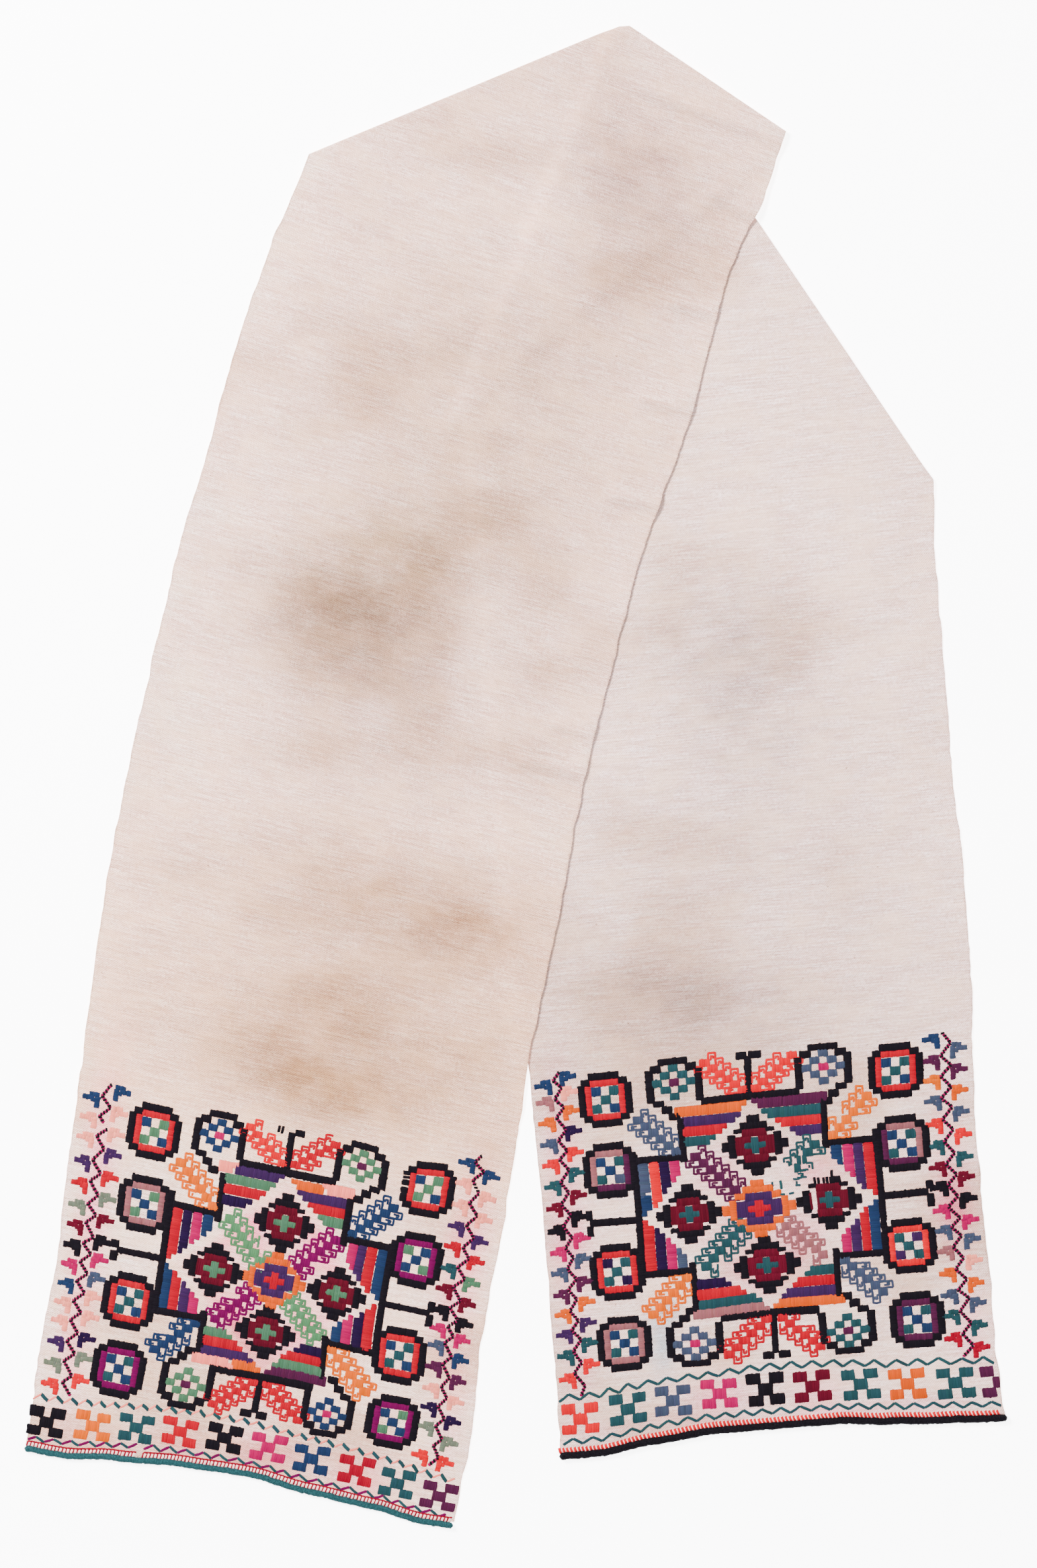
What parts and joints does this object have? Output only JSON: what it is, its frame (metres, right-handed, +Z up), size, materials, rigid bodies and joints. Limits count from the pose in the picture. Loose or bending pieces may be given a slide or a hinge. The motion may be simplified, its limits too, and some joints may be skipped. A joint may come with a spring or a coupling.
{
  "type": "rushnyk ritual towel",
  "caption": "Long homespun linen towel laid flat and turned back at one point, so its two embroidered, cord-edged ends lie side by side.",
  "frame": {"origin": "middle of the laid towel's bounding box, on the surface it lies on", "axes": "+Y from the two hems towards the folded point, +X to the right with the front arm on the left, +Z up from the surface"},
  "size_m": [0.7422, 1.136, 0.0064],
  "materials": {
    "linen": "uneven homespun linen, pale and stained",
    "teal_yarn": "fuzzy dyed yarn",
    "black_yarn": "fuzzy dyed yarn",
    "embroidery_yarn": "glossy flat-stitched yarn in many colours"
  },
  "bodies": {
    "root": {"cloth": "linen", "edging_teal": "teal_yarn", "edging_black": "black_yarn"}
  },
  "joints": []
}
